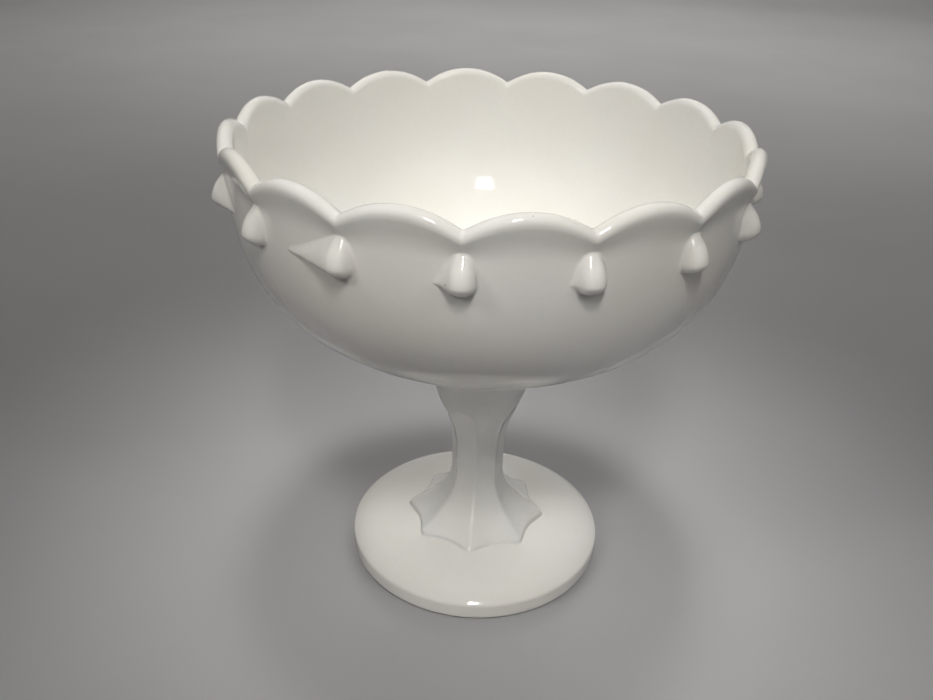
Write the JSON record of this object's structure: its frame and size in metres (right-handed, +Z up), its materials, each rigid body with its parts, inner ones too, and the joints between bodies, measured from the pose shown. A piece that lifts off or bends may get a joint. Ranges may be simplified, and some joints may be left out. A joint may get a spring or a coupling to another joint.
{
  "type": "footed glass bowl",
  "caption": "Deep round serving bowl with a scalloped rim and raised teardrops, on a fluted stem with a star base and a round domed foot.",
  "frame": {"origin": "centre of the flat bearing ring under the foot, on the surface the bowl stands on", "axes": "+Z up along the bowl's axis; -Y is the front, through one notch of the rim and the teardrop under it; +X to the right"},
  "size_m": [0.2172, 0.2172, 0.206],
  "materials": {
    "bowl_glass": "fire-polished opaque milk glass, glossy",
    "stem_glass": "pressed opaque milk glass, glossy, mould-textured flutes",
    "foot_glass": "fire-polished opaque milk glass, glossy",
    "teardrop_glass": "pressed opaque milk glass, glossy"
  },
  "bodies": {
    "root": {"bowl": "bowl_glass", "stem": "stem_glass", "foot": "foot_glass", "teardrop_01": "teardrop_glass", "teardrop_02": "teardrop_glass", "teardrop_03": "teardrop_glass", "teardrop_04": "teardrop_glass", "teardrop_05": "teardrop_glass", "teardrop_06": "teardrop_glass", "teardrop_07": "teardrop_glass", "teardrop_08": "teardrop_glass", "teardrop_09": "teardrop_glass", "teardrop_10": "teardrop_glass", "teardrop_11": "teardrop_glass", "teardrop_12": "teardrop_glass", "teardrop_13": "teardrop_glass", "teardrop_14": "teardrop_glass", "teardrop_15": "teardrop_glass", "teardrop_16": "teardrop_glass"}
  },
  "joints": []
}
